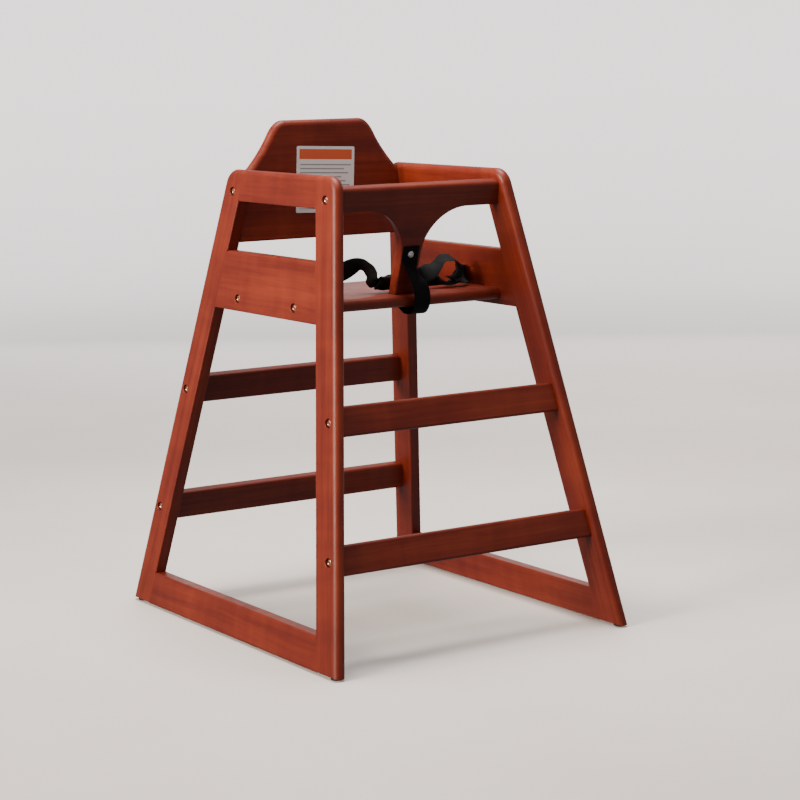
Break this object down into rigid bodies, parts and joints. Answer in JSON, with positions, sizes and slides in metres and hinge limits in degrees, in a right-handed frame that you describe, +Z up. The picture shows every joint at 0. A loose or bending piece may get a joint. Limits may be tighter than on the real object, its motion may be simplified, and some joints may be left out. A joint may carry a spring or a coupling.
{
  "type": "stacking baby high chair",
  "caption": "Wooden stacking baby high chair with leaning side frames, T-shaped front panel, backrest, cross bars and a fastened black webbing harness.",
  "frame": {"origin": "on the floor, under the middle of the chair's footprint", "axes": "+Z up, -Y towards the front of the chair, +X towards the seated child's left"},
  "size_m": [0.5172, 0.6054, 0.753],
  "materials": {
    "cherry_lacquer": "red-brown stain under satin lacquer",
    "bronzed_steel": "bronze-plated steel",
    "zinc_steel": "zinc-plated steel",
    "black_rubber": "matt",
    "black_webbing": "woven polyester webbing",
    "black_plastic": "fine satin",
    "nickel_screw": "bright nickel plating",
    "plain_sticker": "pale printed film with plain bars, no lettering"
  },
  "bodies": {
    "chair": {"right_front_leg": "cherry_lacquer", "right_rear_leg": "cherry_lacquer", "right_arm_rail": "cherry_lacquer", "right_side_panel": "cherry_lacquer", "right_bottom_rail": "cherry_lacquer", "left_front_leg": "cherry_lacquer", "left_rear_leg": "cherry_lacquer", "left_arm_rail": "cherry_lacquer", "left_side_panel": "cherry_lacquer", "left_bottom_rail": "cherry_lacquer", "seat": "cherry_lacquer", "backrest": "cherry_lacquer", "front_panel": "cherry_lacquer", "front_lower_bar": "cherry_lacquer", "front_upper_bar": "cherry_lacquer", "rear_lower_bar": "cherry_lacquer", "rear_upper_bar": "cherry_lacquer", "right_front_lower_bar_bolt": "bronzed_steel", "right_front_upper_bar_bolt": "bronzed_steel", "right_front_seat_bolt": "bronzed_steel", "right_rear_lower_bar_bolt": "bronzed_steel", "right_rear_upper_bar_bolt": "bronzed_steel", "right_rear_seat_bolt": "bronzed_steel", "right_front_panel_bolt": "bronzed_steel", "right_backrest_bolt": "bronzed_steel", "left_front_lower_bar_bolt": "bronzed_steel", "left_front_upper_bar_bolt": "bronzed_steel", "left_front_seat_bolt": "bronzed_steel", "left_rear_lower_bar_bolt": "bronzed_steel", "left_rear_upper_bar_bolt": "bronzed_steel", "left_rear_seat_bolt": "bronzed_steel", "left_front_panel_bolt": "bronzed_steel", "left_backrest_bolt": "bronzed_steel", "right_front_lower_bar_dowel": "zinc_steel", "right_front_upper_bar_dowel": "zinc_steel", "right_front_seat_dowel": "zinc_steel", "right_rear_lower_bar_dowel": "zinc_steel", "right_rear_upper_bar_dowel": "zinc_steel", "right_rear_seat_dowel": "zinc_steel", "right_front_panel_dowel": "zinc_steel", "right_backrest_dowel": "zinc_steel", "left_front_lower_bar_dowel": "zinc_steel", "left_front_upper_bar_dowel": "zinc_steel", "left_front_seat_dowel": "zinc_steel", "left_rear_lower_bar_dowel": "zinc_steel", "left_rear_upper_bar_dowel": "zinc_steel", "left_rear_seat_dowel": "zinc_steel", "left_front_panel_dowel": "zinc_steel", "left_backrest_dowel": "zinc_steel", "right_front_glide": "black_rubber", "right_rear_glide": "black_rubber", "left_front_glide": "black_rubber", "left_rear_glide": "black_rubber", "crotch_strap": "black_webbing", "right_waist_strap": "black_webbing", "left_waist_strap": "black_webbing", "buckle_socket": "black_plastic", "crotch_strap_screw": "nickel_screw", "label": "plain_sticker"},
    "plug": {"buckle_plug": "black_plastic"}
  },
  "joints": [
    {"name": "buckle_release", "type": "slide", "parent": "chair", "child": "plug", "axis": [1, 0, 0], "range_m": [0, 0.026], "deforming": ["left_waist_strap"]}
  ]
}
